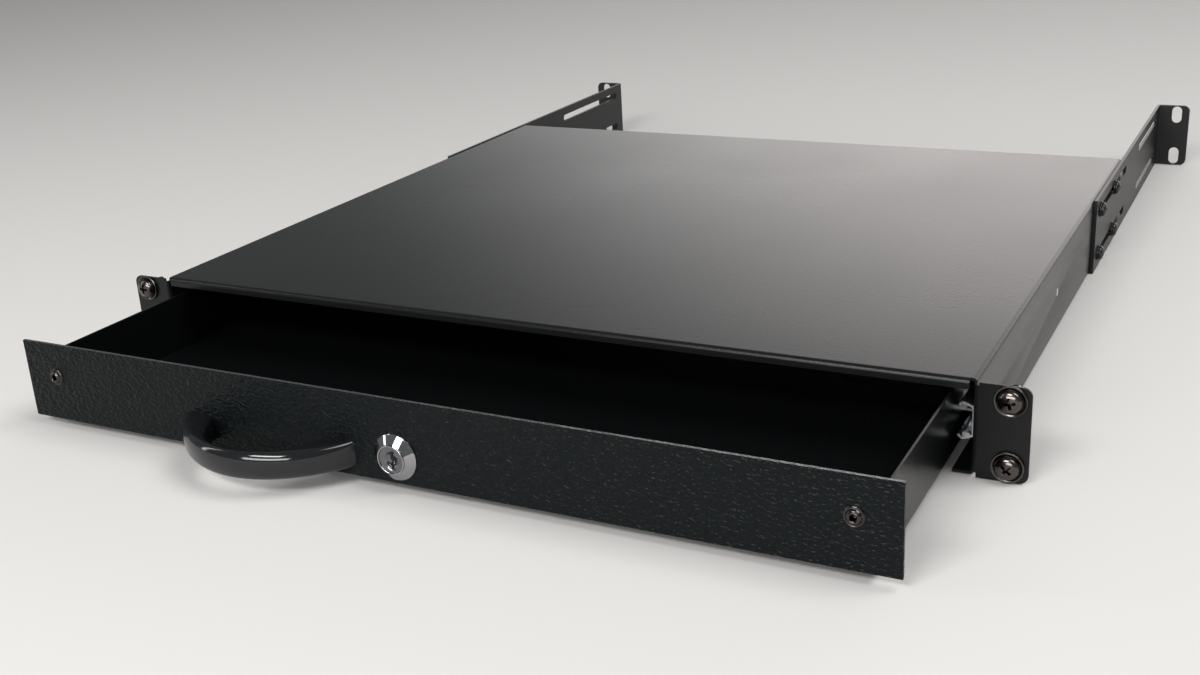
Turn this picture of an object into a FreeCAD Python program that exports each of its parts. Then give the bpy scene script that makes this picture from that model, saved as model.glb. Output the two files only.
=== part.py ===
# A sliding drawer for a 19-inch rack, one unit high, in millimetres.
#
# A folded steel housing carries the rack ears, two ball slides and two rear brackets. The tray runs
# in it on the slides, behind a steel front with an arched handle and a cam lock. The origin is the
# centre of the four ear slots on the back of the ears; X is to the right, Y into the rack, Z up.
# The tray stands pulled out by drawer_open.

import FreeCAD, Part
import Sketcher
import math
import os

SIZES = {
    # The rack that it bolts to
    "overall_width": 482.0,         # across both ears
    "ear_width": 22.5,              # each ear, from the housing's wall to its end
    "ear_slot_inset": 8.45,         # from the ear's end, which puts the slots 465.1 apart
    "ear_slot_spacing": 30.2,       # between the two slots of one ear
    "ear_slot_length": 10.0,        # end to end
    "ear_slot_width": 6.8,
    "ear_corner_radius": 4.0,
    "ear_top_drop": 0.8,            # the ears stop this much under the housing's top
    # Housing, folded from one sheet
    "housing_height": 43.6,
    "housing_depth": 390.0,         # from the back of the ears
    "housing_sheet": 1.2,
    "bend_radius": 1.0,             # inside every fold of every sheet
    "lip_height": 4.5,              # the top's front edge, turned down
    "lip_relief": 0.8,              # from each end of the lip to the corner fold
    "bottom_flange_width": 9.5,
    "rear_flange_height": 12.0,
    # Rear brackets and their fasteners
    "bracket_sheet": 2.0,
    "bracket_lap": 106.0,           # how far the bracket reaches along the housing's wall
    "bracket_length": 276.0,        # to the back of the flange that meets the rear rail
    "bracket_slot_length": 107.0,   # end to end
    "bracket_slot_width": 4.6,
    "bracket_slot_inset": 6.0,      # from the bracket's front edge to its front slots
    "bracket_rear_slot_length": 95.0,
    "bracket_rear_slot_inset": 12.0,    # from the rear slots to the flange's back
    "bracket_row_height": 0.4,      # middle between the two rows
    "bracket_row_spacing": 26.4,
    "rear_slot_length": 12.0,
    "bracket_screw_inset": 42.0,    # rear screws, from the housing's rear
    "bracket_screw_spacing": 51.0,
    "screw_radius": 2.0,
    "screw_head_radius": 4.0,
    "screw_head_height": 2.7,
    "screw_head_edge": 1.0,         # straight side under the crown
    "screw_tip": 0.9,               # beyond the nut
    "screw_play": 0.25,             # hole over shank, on the radius
    "thread_fit": 0.03,             # nut over thread, on the radius
    "washer_radius": 4.5,
    "washer_thickness": 0.8,
    "nut_across_flats": 7.0,
    "nut_thickness": 3.2,
    # Ball slides
    "slide_height": 1.2,            # middle of the slides over the middle of the ear slots
    "slide_space": 9.3,             # between the housing's wall and the tray's
    "channel_setback": 3.5,         # channel's front end behind the back of the ears
    "slide_sheet": 1.0,
    "ball_radius": 1.5,
    "ball_play": 0.06,              # race over ball, on the radius
    "ball_from_wall": 4.6,
    "ball_row_height": 5.94,        # from the middle of the slide to each row of balls
    "race_neck_angle": 24.0,        # slope that leads from the web into the race
    "race_lip_angle": 15.0,         # where the race ends, over the level of the balls
    "runner_half_height": 5.1,
    "runner_tip_gap": 2.6,          # to the housing's wall
    "runner_setback": 125.0,        # runner's front end behind the front panel
    "cage_sheet": 0.6,
    "cage_gap": 0.3,                # to the channel's web
    "cage_half_height": 5.9,
    "cage_width": 6.9,              # from the housing's wall to the flanges' ends
    "cage_length": 80.0,
    "cage_hole_play": 0.05,
    "ball_spacing": 16.0,
    "balls_in_row": 5,
    "stop_thickness": 1.2,
    "stop_gap": 0.5,                # to the cage at full travel
    "stop_width": 3.0,
    "channel_stop_height": 1.95,
    "channel_stop_gap": 0.25,       # to the runner that passes over it
    "runner_stop_width": 1.0,
    "slide_rivet_radius": 1.6,
    "slide_rivet_play": 0.05,
    "slide_rivet_sink": 0.55,       # depth of the flush ends
    "slide_rivet_inset": 20.0,      # from the ends of the channel
    "runner_rivet_inset": 15.0,     # from the ends of the runner
    "runner_rivet_head_radius": 2.8,
    "runner_rivet_head_height": 0.9,
    "slide_rivets_in_row": 3,
    # Drawer
    "drawer_open": 98.0,            # how far the tray stands pulled out
    "slide_lap": 100.0,             # how much of the slide's length stays inside at full travel
    "closed_gap": 0.3,              # between the front and the lip when closed
    "tray_rear_gap": 40.0,          # how much less deep the tray and its slides are than the housing
    "tray_wall_height": 31.2,
    "tray_floor_height": -16.9,     # underside of the floor
    "tray_sheet": 1.0,
    "panel_inset": 24.0,            # from the ear's end to the panel's
    "panel_sheet": 1.5,
    "panel_flange_width": 12.0,
    "panel_flange_inset": 10.1,     # the bottom flange stops short of each end
    "panel_end_height": 1.2,        # the ends' lower edge over the flange's underside
    "panel_rivet_inset": 18.3,      # from the panel's end
    "panel_rivet_middle": 5.0,
    "panel_rivet_shank_radius": 2.0,
    "panel_rivet_play": 0.1,
    "panel_rivet_head_radius": 4.2,
    "panel_rivet_head_thickness": 0.45,
    "panel_rivet_crown_radius": 2.9,    # the raised ring
    "panel_rivet_crown_height": 1.7,
    "panel_rivet_bore_radius": 1.4,
    "panel_rivet_bore_depth": 1.2,
    "panel_rivet_bulb_radius": 2.9,     # set end behind the tray's wall
    "panel_rivet_bulb_length": 2.6,
    # Handle
    "handle_place": -70.7,
    "handle_middle": -7.2,
    "handle_height": 13.0,
    "handle_width": 94.6,
    "handle_depth": 29.5,           # in front of the panel
    "handle_inside_width": 62.0,
    "handle_inside_depth": 24.0,
    "handle_edge_radius": 1.8,
    "handle_screw_spacing": 80.0,
    "handle_screw_depth": 7.0,      # how far the screws go into the handle
    "handle_bore_play": 0.6,        # beyond the screws' ends
    # Cam lock
    "lock_place": -2.0,
    "lock_middle": -4.8,
    "lock_bezel_radius": 10.75,
    "lock_bezel_rim": 0.6,
    "lock_bezel_height": 4.0,
    "lock_ring_radius": 6.7,
    "lock_barrel_radius": 8.0,
    "lock_barrel_length": 10.5,     # behind the front's face
    "lock_hole_play": 0.15,
    "lock_nut_across_flats": 20.0,
    "lock_nut_thickness": 3.0,
    "lock_fit": 0.05,               # running fit of the plug, on the radius
    "plug_head_radius": 6.0,
    "plug_head_length": 1.6,
    "plug_recess": 0.5,             # face of the plug behind the ring
    "plug_radius": 5.4,
    "plug_proud": 0.3,              # behind the barrel, so that the cam turns free
    "plug_square_width": 6.0,
    "plug_square_length": 1.4,
    "plug_bore_depth": 8.0,
    "keyway_height": 7.6,
    "keyway_width": 2.0,
    "keyway_depth": 6.5,
    "cam_width": 12.0,
    "cam_sheet": 1.5,
    "cam_arm_length": 13.0,         # from the lock's axis to the crank
    "cam_crank_angle": 67.0,
    "cam_tip_length": 8.7,          # beyond the crank
    "cam_tip_gap": 1.1,             # to the tray's front wall
    "cam_screw_radius": 1.5,
    "cam_screw_play": 0.1,          # washer's hole over it, on the radius
    "cam_screw_depth": 7.5,
    "cam_screw_head_radius": 3.0,
    "cam_screw_head_height": 2.2,
    "cam_screw_edge_radius": 1.0,
}

doc = FreeCAD.newDocument("rack_drawer")
sheet = doc.addObject("Spreadsheet::Sheet", "Sizes")


class Size:
    """A length, an angle or a place: its number, and the spreadsheet formula that gives it."""

    def __init__(self, number, formula=None):
        self.number = float(number)
        self.formula = repr(float(number)) if formula is None else formula

    def __add__(self, other):
        other = size(other)
        return Size(self.number + other.number, "(%s + %s)" % (self.formula, other.formula))

    def __sub__(self, other):
        other = size(other)
        return Size(self.number - other.number, "(%s - %s)" % (self.formula, other.formula))

    def __mul__(self, other):
        other = size(other)
        return Size(self.number * other.number, "(%s * %s)" % (self.formula, other.formula))

    def __truediv__(self, other):
        other = size(other)
        return Size(self.number / other.number, "(%s / %s)" % (self.formula, other.formula))

    def __neg__(self):
        return Size(-self.number, "(-1 * %s)" % self.formula)

    def __radd__(self, other):
        return size(other) + self

    def __rsub__(self, other):
        return size(other) - self

    def __rmul__(self, other):
        return size(other) * self


def size(value):
    return value if isinstance(value, Size) else Size(value)


def root(value):
    return Size(math.sqrt(value.number), "sqrt(%s)" % value.formula)


def sine(angle):
    return Size(math.sin(math.radians(angle.number)), "sin(%s * 1 deg)" % angle.formula)


def cosine(angle):
    return Size(math.cos(math.radians(angle.number)), "cos(%s * 1 deg)" % angle.formula)


def tangent(angle):
    return sine(angle) / cosine(angle)


class Cells:
    """The spreadsheet's cells, each under its alias."""


s = Cells()
for row, (alias, value) in enumerate(SIZES.items(), start=1):
    sheet.set("A%d" % row, alias)
    sheet.set("B%d" % row, str(value))
    sheet.setAlias("B%d" % row, alias)
    setattr(s, alias, Size(value, "Sizes." + alias))
doc.recompute()


# Drawing: each of these gives a function that draws one closed shape into a sketch, with every
# point, centre and radius bound to the spreadsheet.

def constrain(sketch, kind, *rest):
    """Add a constraint; its last value is a Size that the sketch keeps following."""
    *where, value = rest
    value = size(value)
    index = sketch.addConstraint(Sketcher.Constraint(kind, *where, value.number))
    if "Sizes" in value.formula:
        sketch.setExpression("Constraints[%d]" % index, value.formula)


def pin(sketch, geometry, end, x, y):
    """Hold a point of the sketch at a place measured from its origin."""
    constrain(sketch, "DistanceX", -1, 1, geometry, end, x)
    constrain(sketch, "DistanceY", -1, 1, geometry, end, y)


class Arc:
    """An arc that ends at a place; a positive radius turns anticlockwise."""

    def __init__(self, x, y, radius):
        self.x, self.y, self.radius = size(x), size(y), size(radius)


class Corner:
    """A square corner rounded by a radius."""

    def __init__(self, x, y, radius):
        self.x, self.y, self.radius = size(x), size(y), size(radius)


class Point:
    """A sharp corner."""

    def __init__(self, x, y):
        self.x, self.y = size(x), size(y)


def heading(start, end):
    """The direction of a line that runs along one of the sketch's two axes."""
    across = end.x.number - start.x.number
    up = end.y.number - start.y.number
    if abs(across) > abs(up):
        return (math.copysign(1, across), 0)
    return (0, math.copysign(1, up))


def open_corners(steps):
    """Turn each rounded corner into the end of its line and the arc that follows."""
    opened = []
    for index, step in enumerate(steps):
        if not isinstance(step, Corner):
            opened.append(step)
            continue
        before = heading(steps[index - 1], step)
        after = heading(step, steps[(index + 1) % len(steps)])
        left = before[0] * after[1] - before[1] * after[0]
        opened.append(Point(step.x - before[0] * step.radius, step.y - before[1] * step.radius))
        opened.append(Arc(step.x + after[0] * step.radius, step.y + after[1] * step.radius,
                          left * step.radius))
    return opened


def loop(*steps):
    """A closed outline of lines and arcs; a plain pair is a sharp corner."""
    steps = [Point(*step) if isinstance(step, tuple) else step for step in steps]
    steps = open_corners(steps)

    def draw(sketch):
        ends = []
        for start, stop in zip(steps[-1:] + steps[:-1], steps):
            first = FreeCAD.Vector(start.x.number, start.y.number, 0)
            last = FreeCAD.Vector(stop.x.number, stop.y.number, 0)
            if not isinstance(stop, Arc):
                line = sketch.addGeometry(Part.LineSegment(first, last), False)
                ends.append((line, 1, 2))
                continue
            chord = last - first
            radius = abs(stop.radius.number)
            rise = math.sqrt(max(radius ** 2 - (chord.Length / 2) ** 2, 0))
            side = FreeCAD.Vector(-chord.y, chord.x, 0).normalize()
            turn = math.copysign(1, stop.radius.number)
            centre = (first + last) / 2 + side * rise * turn
            low, high = (first, last) if turn > 0 else (last, first)
            angles = [math.atan2(at.y - centre.y, at.x - centre.x) for at in (low, high)]
            circle_of_arc = Part.Circle(centre, FreeCAD.Vector(0, 0, 1), radius)
            arc = sketch.addGeometry(Part.ArcOfCircle(circle_of_arc, *angles), False)
            constrain(sketch, "Radius", arc, stop.radius * turn)
            ends.append((arc, 1, 2) if turn > 0 else (arc, 2, 1))
        for (this, _, tail), (other, head, _) in zip(ends, ends[1:] + ends[:1]):
            sketch.addConstraint(Sketcher.Constraint("Coincident", this, tail, other, head))
        for (geometry, _, tail), stop in zip(ends, steps):
            pin(sketch, geometry, tail, stop.x, stop.y)

    return draw


def box(left, right, low, high):
    return loop((left, low), (right, low), (right, high), (left, high))


def circle(x, y, radius):
    def draw(sketch):
        centre = FreeCAD.Vector(size(x).number, size(y).number, 0)
        ring = Part.Circle(centre, FreeCAD.Vector(0, 0, 1), size(radius).number)
        geometry = sketch.addGeometry(ring, False)
        constrain(sketch, "Radius", geometry, radius)
        pin(sketch, geometry, 3, x, y)

    return draw


def slot(x, y, length, width, upright=False):
    """A slot with round ends, its length measured end to end."""
    radius = size(width) / 2
    reach = size(length) / 2 - radius
    along = (0, 1) if upright else (1, 0)
    aside = (-along[1], along[0])

    def draw(sketch):
        ends = []
        for way in (1, -1):
            centre = Point(x + way * along[0] * reach, y + way * along[1] * reach)
            start = math.atan2(-way * aside[1], -way * aside[0])
            middle = FreeCAD.Vector(centre.x.number, centre.y.number, 0)
            ring = Part.Circle(middle, FreeCAD.Vector(0, 0, 1), radius.number)
            arc = sketch.addGeometry(Part.ArcOfCircle(ring, start, start + math.pi), False)
            pin(sketch, arc, 3, centre.x, centre.y)
            ends.append(arc)
        for this, other in (ends, ends[::-1]):
            start = sketch.Geometry[this].EndPoint
            stop = sketch.Geometry[other].StartPoint
            line = sketch.addGeometry(Part.LineSegment(start, stop), False)
            sketch.addConstraint(Sketcher.Constraint("Tangent", this, 2, line, 1))
            sketch.addConstraint(Sketcher.Constraint("Tangent", line, 2, other, 1))
        constrain(sketch, "Radius", ends[0], radius)
        sketch.addConstraint(Sketcher.Constraint("Equal", ends[0], ends[1]))

    return draw


def hexagon(x, y, across_flats):
    """A hexagon with a flat at its top and at its bottom."""
    inner = size(across_flats) / 2
    outer = size(across_flats) / math.sqrt(3)
    return loop((x + outer, y), (x + outer / 2, y + inner), (x - outer / 2, y + inner),
                (x - outer, y), (x - outer / 2, y - inner), (x + outer / 2, y - inner))


def folded(thickness, *places):
    """The section of a sheet with square folds: the sheet lies to the left of the line given."""
    path = [Point(*place) for place in places]
    headings = [heading(a, b) for a, b in zip(path, path[1:])]
    outer, inner = [], []
    for index, point in enumerate(path):
        before = headings[max(index - 1, 0)]
        after = headings[min(index, len(headings) - 1)]
        turn = before[0] * after[1] - before[1] * after[0]
        aside = [(-before[1], before[0])]
        if turn:
            aside.append((-after[1], after[0]))
        x = point.x + sum(step[0] for step in aside) * thickness
        y = point.y + sum(step[1] for step in aside) * thickness
        if turn:
            outside = s.bend_radius + thickness
            radii = (outside, s.bend_radius) if turn > 0 else (s.bend_radius, outside)
            outer.append(Corner(point.x, point.y, radii[0]))
            inner.append(Corner(x, y, radii[1]))
        else:
            outer.append(point)
            inner.append(Point(x, y))
    return loop(*(outer + inner[::-1]))


# Building: each of these adds one feature to a body.

NODES = []


def new_body(name):
    body = doc.addObject("PartDesign::Body", name)
    body.Label = name
    NODES.append(body)
    return body


def origin_part(body, role):
    return next(part for part in body.Origin.OriginFeatures if part.Role == role)


def bind(target, name, value):
    target.setExpression(name, size(value).formula)


def new_sketch(body, plane, level, shapes, across=0, up=0):
    """A sketch on one of the body's origin planes, moved to a level along that plane's axis."""
    sketch = body.newObject("Sketcher::SketchObject", body.Label + "_sketch")
    sketch.AttachmentSupport = [(origin_part(body, plane + "_Plane"), "")]
    sketch.MapMode = "FlatFace"
    bind(sketch, "AttachmentOffset.Base.x", across)
    bind(sketch, "AttachmentOffset.Base.y", up)
    bind(sketch, "AttachmentOffset.Base.z", -size(level) if plane == "XZ" else level)
    for draw in shapes:
        draw(sketch)
    return sketch


def settle(body, feature):
    body.Tip = feature
    doc.recompute()
    if not feature.isValid() or feature.Shape.isNull():
        raise RuntimeError("%s: %s failed" % (body.Label, feature.Name))
    return feature


def add(body, plane, low, high, *shapes):
    """Pad the shapes from the low level to the high one."""
    pad = body.newObject("PartDesign::Pad", body.Label + "_pad")
    pad.Profile = new_sketch(body, plane, low, shapes)
    pad.Reversed = plane == "XZ"
    bind(pad, "Length", size(high) - low)
    return settle(body, pad)


def cut(body, plane, low, high, *shapes):
    """Pocket the shapes from the low level to the high one."""
    before = body.Shape.Volume
    pocket = body.newObject("PartDesign::Pocket", body.Label + "_pocket")
    pocket.Profile = new_sketch(body, plane, low, shapes)
    pocket.Reversed = plane != "XZ"
    bind(pocket, "Length", size(high) - low)
    settle(body, pocket)
    if pocket.Shape.Volume >= before:
        raise RuntimeError("%s: %s cut nothing" % (body.Label, pocket.Name))
    return pocket


def turn(body, plane, level, across, up, outline):
    """Turn an outline about the line through (across, up) that runs along the sketch's first axis."""
    whole = body.newObject("PartDesign::Revolution", body.Label + "_turned")
    whole.Profile = new_sketch(body, plane, level, [outline], across, up)
    whole.ReferenceAxis = (whole.Profile[0], ["H_Axis"])
    whole.Angle = 360
    return settle(body, whole)


def mirror(body, features):
    """Repeat the features on the other side of the middle plane."""
    mirrored = body.newObject("PartDesign::Mirrored", body.Label + "_mirror")
    mirrored.Originals = features
    mirrored.MirrorPlane = (origin_part(body, "YZ_Plane"), [""])
    return settle(body, mirrored)


def repeat(body, features, *rows, both_sides=False):
    """Repeat the features in rows, each given as axis, whole length and count."""
    whole = body.newObject("PartDesign::MultiTransform", body.Label + "_repeat")
    whole.Originals = features
    steps = []
    for axis, length, count in rows:
        row = doc.addObject("PartDesign::LinearPattern", body.Label + "_row")
        row.Direction = (origin_part(body, axis + "_Axis"), [""])
        bind(row, "Length", length)
        bind(row, "Occurrences", count)
        steps.append(row)
    if both_sides:
        other = doc.addObject("PartDesign::Mirrored", body.Label + "_mirror")
        other.MirrorPlane = (origin_part(body, "YZ_Plane"), [""])
        steps.append(other)
    whole.Transformations = steps
    return settle(body, whole)


def edges(feature, chosen):
    names = ["Edge%d" % number for number, edge in enumerate(feature.Shape.Edges, start=1) if chosen(edge)]
    if not names:
        raise RuntimeError("%s: no edge to work on" % feature.Name)
    return names


def soften(body, radius, chosen):
    base = body.Tip
    fillet = body.newObject("PartDesign::Fillet", body.Label + "_fillet")
    fillet.Base = (base, edges(base, chosen))
    bind(fillet, "Radius", radius)
    return settle(body, fillet)


def bevel(body, depth, chosen):
    base = body.Tip
    chamfer = body.newObject("PartDesign::Chamfer", body.Label + "_chamfer")
    chamfer.Base = (base, edges(base, chosen))
    bind(chamfer, "Size", depth)
    return settle(body, chamfer)


def is_arc(edge, radius):
    """Whether an edge is part of a circle of this radius."""
    curve = edge.Curve
    return curve.TypeId == "Part::GeomCircle" and abs(curve.Radius - radius.number) < NEAR


def runs_along(edge, direction):
    """Whether an edge is straight and runs along this axis."""
    if edge.Curve.TypeId != "Part::GeomLine":
        return False
    return abs(abs(edge.Curve.Direction.dot(direction)) - 1) < NEAR


NEAR = 1e-4                         # how closely places are compared
NEARLY_ALL = 0.99                   # of half a width, so that a round end keeps a sliver of flat
ALONG_Y = FreeCAD.Vector(0, 1, 0)

# Places that more than one piece works from

ear_end = s.overall_width / 2
wall_out = ear_end - s.ear_width
wall_in = wall_out - s.housing_sheet
roof = s.housing_height / 2
hole_x = ear_end - s.ear_slot_inset
hole_z = s.ear_slot_spacing / 2

tray_depth = s.housing_depth - s.tray_rear_gap
drawer_travel = tray_depth - s.slide_lap
panel_back = -s.housing_sheet - s.closed_gap - s.drawer_open
panel_front = panel_back - s.panel_sheet
panel_half = ear_end - s.panel_inset
panel_rivet_x = panel_half - s.panel_rivet_inset
tray_wall_back = panel_back + s.tray_sheet
tray_half = wall_in - s.slide_space
tray_top = s.tray_floor_height + s.tray_wall_height

channel_front = s.channel_setback
channel_rear = channel_front + tray_depth
still_to_open = drawer_travel - s.drawer_open
cage_front = channel_front + s.stop_thickness + s.stop_gap + still_to_open / 2
cage_rear = cage_front + s.cage_length
runner_front = panel_back + s.runner_setback
runner_rear = cage_rear + still_to_open / 2 + s.stop_gap + s.stop_thickness
race = s.ball_radius + s.ball_play

bracket_front = s.housing_depth - s.bracket_lap
bracket_rear = bracket_front + s.bracket_length
bracket_out = wall_out + s.bracket_sheet
bracket_rows = [s.bracket_row_height + s.bracket_row_spacing / 2,
                s.bracket_row_height - s.bracket_row_spacing / 2]
bracket_screw_last = s.housing_depth - s.bracket_screw_inset
bracket_screw_rows = [bracket_screw_last - s.bracket_screw_spacing, bracket_screw_last]
rivet_first = channel_front + s.slide_rivet_inset
rivet_span = tray_depth - 2 * s.slide_rivet_inset
rivet_hole = s.slide_rivet_radius + s.slide_rivet_play
runner_rivet_first = runner_front + s.runner_rivet_inset
runner_rivet_span = runner_rear - runner_front - 2 * s.runner_rivet_inset

screw_hole = s.screw_radius + s.screw_play
handle_screw_x = [s.handle_place - s.handle_screw_spacing / 2,
                  s.handle_place + s.handle_screw_spacing / 2]
lock_rear = panel_front + s.lock_barrel_length
cam_front = lock_rear + s.plug_proud
cam_back = cam_front + s.cam_sheet


def row_places(first, span):
    """Where the slide rivets stand along a slide."""
    gaps = s.slide_rivets_in_row - 1
    return [first + span * index / gaps for index in range(int(s.slide_rivets_in_row.number))]


# Housing: one sheet, folded into the top, the walls, the bottom flanges and the ears

def make_housing():
    body = new_body("housing")
    sheet_thick = s.housing_sheet
    outside_bend = s.bend_radius + sheet_thick
    flange_end = wall_out - s.bottom_flange_width
    add(body, "XZ", s.bend_radius, s.housing_depth - outside_bend,
        folded(sheet_thick, (flange_end, -roof), (wall_out, -roof), (wall_out, roof),
               (-wall_out, roof), (-wall_out, -roof), (-flange_end, -roof)))

    # The top's front edge is turned down as a lip, and its rear edge as a flange.
    lip_half = wall_out - outside_bend - s.lip_relief
    add(body, "YZ", -lip_half, lip_half,
        folded(sheet_thick, (outside_bend, roof), (-sheet_thick, roof),
               (-sheet_thick, roof - s.lip_height)))
    rear_half = wall_out - outside_bend
    add(body, "YZ", -rear_half, rear_half,
        folded(sheet_thick, (s.housing_depth, roof - s.rear_flange_height), (s.housing_depth, roof),
               (s.housing_depth - outside_bend - sheet_thick, roof)))

    # Each wall's front edge is turned out as an ear.
    fold = add(body, "XY", -roof + outside_bend, roof - outside_bend,
               folded(sheet_thick, (wall_in, outside_bend), (wall_in, -sheet_thick),
                      (wall_out + outside_bend, -sheet_thick)))
    ear = add(body, "XZ", -sheet_thick, size(0),
              loop((wall_out + s.bend_radius, -roof), Corner(ear_end, -roof, s.ear_corner_radius),
                   Corner(ear_end, roof - s.ear_top_drop, s.ear_corner_radius),
                   (wall_out + s.bend_radius, roof - s.ear_top_drop)))
    mirror(body, [fold, ear])
    cut(body, "XZ", -2 * sheet_thick, sheet_thick,
        *[slot(side * hole_x, level * hole_z, s.ear_slot_length, s.ear_slot_width)
          for side in (1, -1) for level in (1, -1)])

    # Holes through both walls: the slides' rivets, sunk outside, and the brackets' screws
    cut(body, "YZ", -wall_out - sheet_thick, wall_out + sheet_thick,
        *[circle(y, s.slide_height, rivet_hole) for y in row_places(rivet_first, rivet_span)],
        *[circle(y, z, screw_hole) for y in bracket_screw_rows for z in bracket_rows])
    bevel(body, s.slide_rivet_sink,
          lambda edge: is_arc(edge, rivet_hole) and abs(edge.CenterOfMass.x) > wall_out.number - NEAR)


# Rear brackets: folded straps that slide along the walls and meet the rear rails

def span(side, near, far):
    """The low and high ends of a stretch that lies this far out on one side."""
    return (size(near), size(far)) if side > 0 else (-size(far), -size(near))


def make_rear_bracket(name, side):
    body = new_body(name)
    path = [(ear_end, bracket_rear), (wall_out, bracket_rear), (wall_out, bracket_front)]
    if side < 0:
        path = [(-x, y) for x, y in path[::-1]]
    add(body, "XY", -roof, roof, folded(s.bracket_sheet, *path))
    cut(body, "XZ", bracket_rear - 2 * s.bracket_sheet, bracket_rear + s.bracket_sheet,
        *[slot(side * hole_x, level * hole_z, s.rear_slot_length, s.ear_slot_width, upright=True)
          for level in (1, -1)])
    front_slots = bracket_front + s.bracket_slot_inset + s.bracket_slot_length / 2
    rear_slots = bracket_rear - s.bracket_rear_slot_inset - s.bracket_rear_slot_length / 2
    low, high = span(side, wall_in, bracket_out + s.housing_sheet)
    for middle, length in ((front_slots, s.bracket_slot_length),
                           (rear_slots, s.bracket_rear_slot_length)):
        cut(body, "YZ", low, high, *[slot(middle, z, length, s.bracket_slot_width) for z in bracket_rows])
    soften(body, s.ear_corner_radius,
           lambda edge: runs_along(edge, ALONG_Y) and abs(edge.CenterOfMass.x) > ear_end.number - NEAR)


def pan_head(length):
    """Half the section of a pan-head screw along its axis; its head's seat is at zero."""
    crown = s.screw_head_height - s.screw_head_edge
    crown_radius = (s.screw_head_radius * s.screw_head_radius + crown * crown) / (2 * crown)
    return loop((s.screw_head_height, 0), Arc(s.screw_head_edge, s.screw_head_radius, crown_radius),
                (0, s.screw_head_radius), (0, s.screw_radius), (-size(length), s.screw_radius),
                (-size(length), 0))


def make_bracket_fasteners():
    seat = bracket_out + s.washer_thickness
    screws = new_body("bracket_screws")
    length = seat - wall_in + s.nut_thickness + s.screw_tip
    one = turn(screws, "XZ", bracket_screw_rows[0], seat, bracket_rows[1], pan_head(length))
    repeat(screws, [one], ("Y", s.bracket_screw_spacing, 2), ("Z", s.bracket_row_spacing, 2),
           both_sides=True)
    places = [(y, z) for y in bracket_screw_rows for z in bracket_rows]
    washers = new_body("bracket_washers")
    mirror(washers, [add(washers, "YZ", bracket_out, seat,
                         *[circle(y, z, s.washer_radius) for y, z in places],
                         *[circle(y, z, screw_hole) for y, z in places])])
    nuts = new_body("bracket_nuts")
    mirror(nuts, [add(nuts, "YZ", wall_in - s.nut_thickness, wall_in,
                      *[hexagon(y, z, s.nut_across_flats) for y, z in places],
                      *[circle(y, z, s.screw_radius + s.thread_fit) for y, z in places])])


# Ball slides. Their sections are measured off the housing's wall and from the middle of the slide.

def section(side, *steps):
    """A closed section; a step is (off the wall, rise), with a radius where an arc ends there."""
    places = []
    for off, rise, *radius in steps:
        x, z = side * (wall_in - off), s.slide_height + rise
        places.append(Arc(x, z, -side * radius[0]) if radius else (x, z))
    return loop(*places)


def make_channel(name, side):
    """The outer member, with an open race rolled along its top and its bottom."""
    body = new_body(name)
    web = s.slide_sheet
    inner, outer = race, race + web

    def neck(radius, level):
        return (s.ball_from_wall - radius * sine(s.race_neck_angle),
                level * (s.ball_row_height + radius * cosine(s.race_neck_angle)))

    def lip(radius, level):
        return (s.ball_from_wall + radius * cosine(s.race_lip_angle),
                level * (s.ball_row_height + radius * sine(s.race_lip_angle)))

    def foot(radius, off, level):
        neck_off, neck_rise = neck(radius, level)
        return off, neck_rise - level * (neck_off - off) * tangent(s.race_neck_angle)

    add(body, "XZ", channel_front, channel_rear, section(
        side, foot(outer, 0, -1), foot(outer, 0, 1),
        neck(outer, 1), (*lip(outer, 1), -outer), lip(inner, 1), (*neck(inner, 1), inner),
        foot(inner, web, 1), foot(inner, web, -1),
        neck(inner, -1), (*lip(inner, -1), inner), lip(outer, -1), (*neck(outer, -1), -outer)))

    # A tab bent up at each end keeps the cage in.
    tab_start = web + s.cage_gap + s.cage_sheet
    left, right = span(side, wall_in - tab_start - s.stop_width, wall_in - tab_start)
    tab_top = s.slide_height - s.runner_half_height - s.channel_stop_gap
    for start in (channel_front, channel_rear - s.stop_thickness):
        add(body, "XZ", start, start + s.stop_thickness,
            box(left, right, tab_top - s.channel_stop_height, tab_top))
    cut(body, "YZ", *span(side, wall_in - 2 * web, wall_in),
        *[circle(y, s.slide_height, rivet_hole) for y in row_places(rivet_first, rivet_span)])
    bevel(body, s.slide_rivet_sink, lambda edge: is_arc(edge, rivet_hole)
          and abs(edge.CenterOfMass.x) < (wall_in - web).number + NEAR)


def make_slide_rivets():
    """Rivets set flush on both faces, so that the bracket and the cage pass over them."""
    body = new_body("slide_rivets")
    grip = s.housing_sheet + s.slide_sheet
    radius, sink = s.slide_rivet_radius, s.slide_rivet_sink
    one = turn(body, "XZ", rivet_first, wall_out, s.slide_height,
               loop((0, 0), (0, radius + sink), (-sink, radius), (sink - grip, radius),
                    (-grip, radius + sink), (-grip, 0)))
    repeat(body, [one], ("Y", rivet_span, s.slide_rivets_in_row), both_sides=True)


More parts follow.
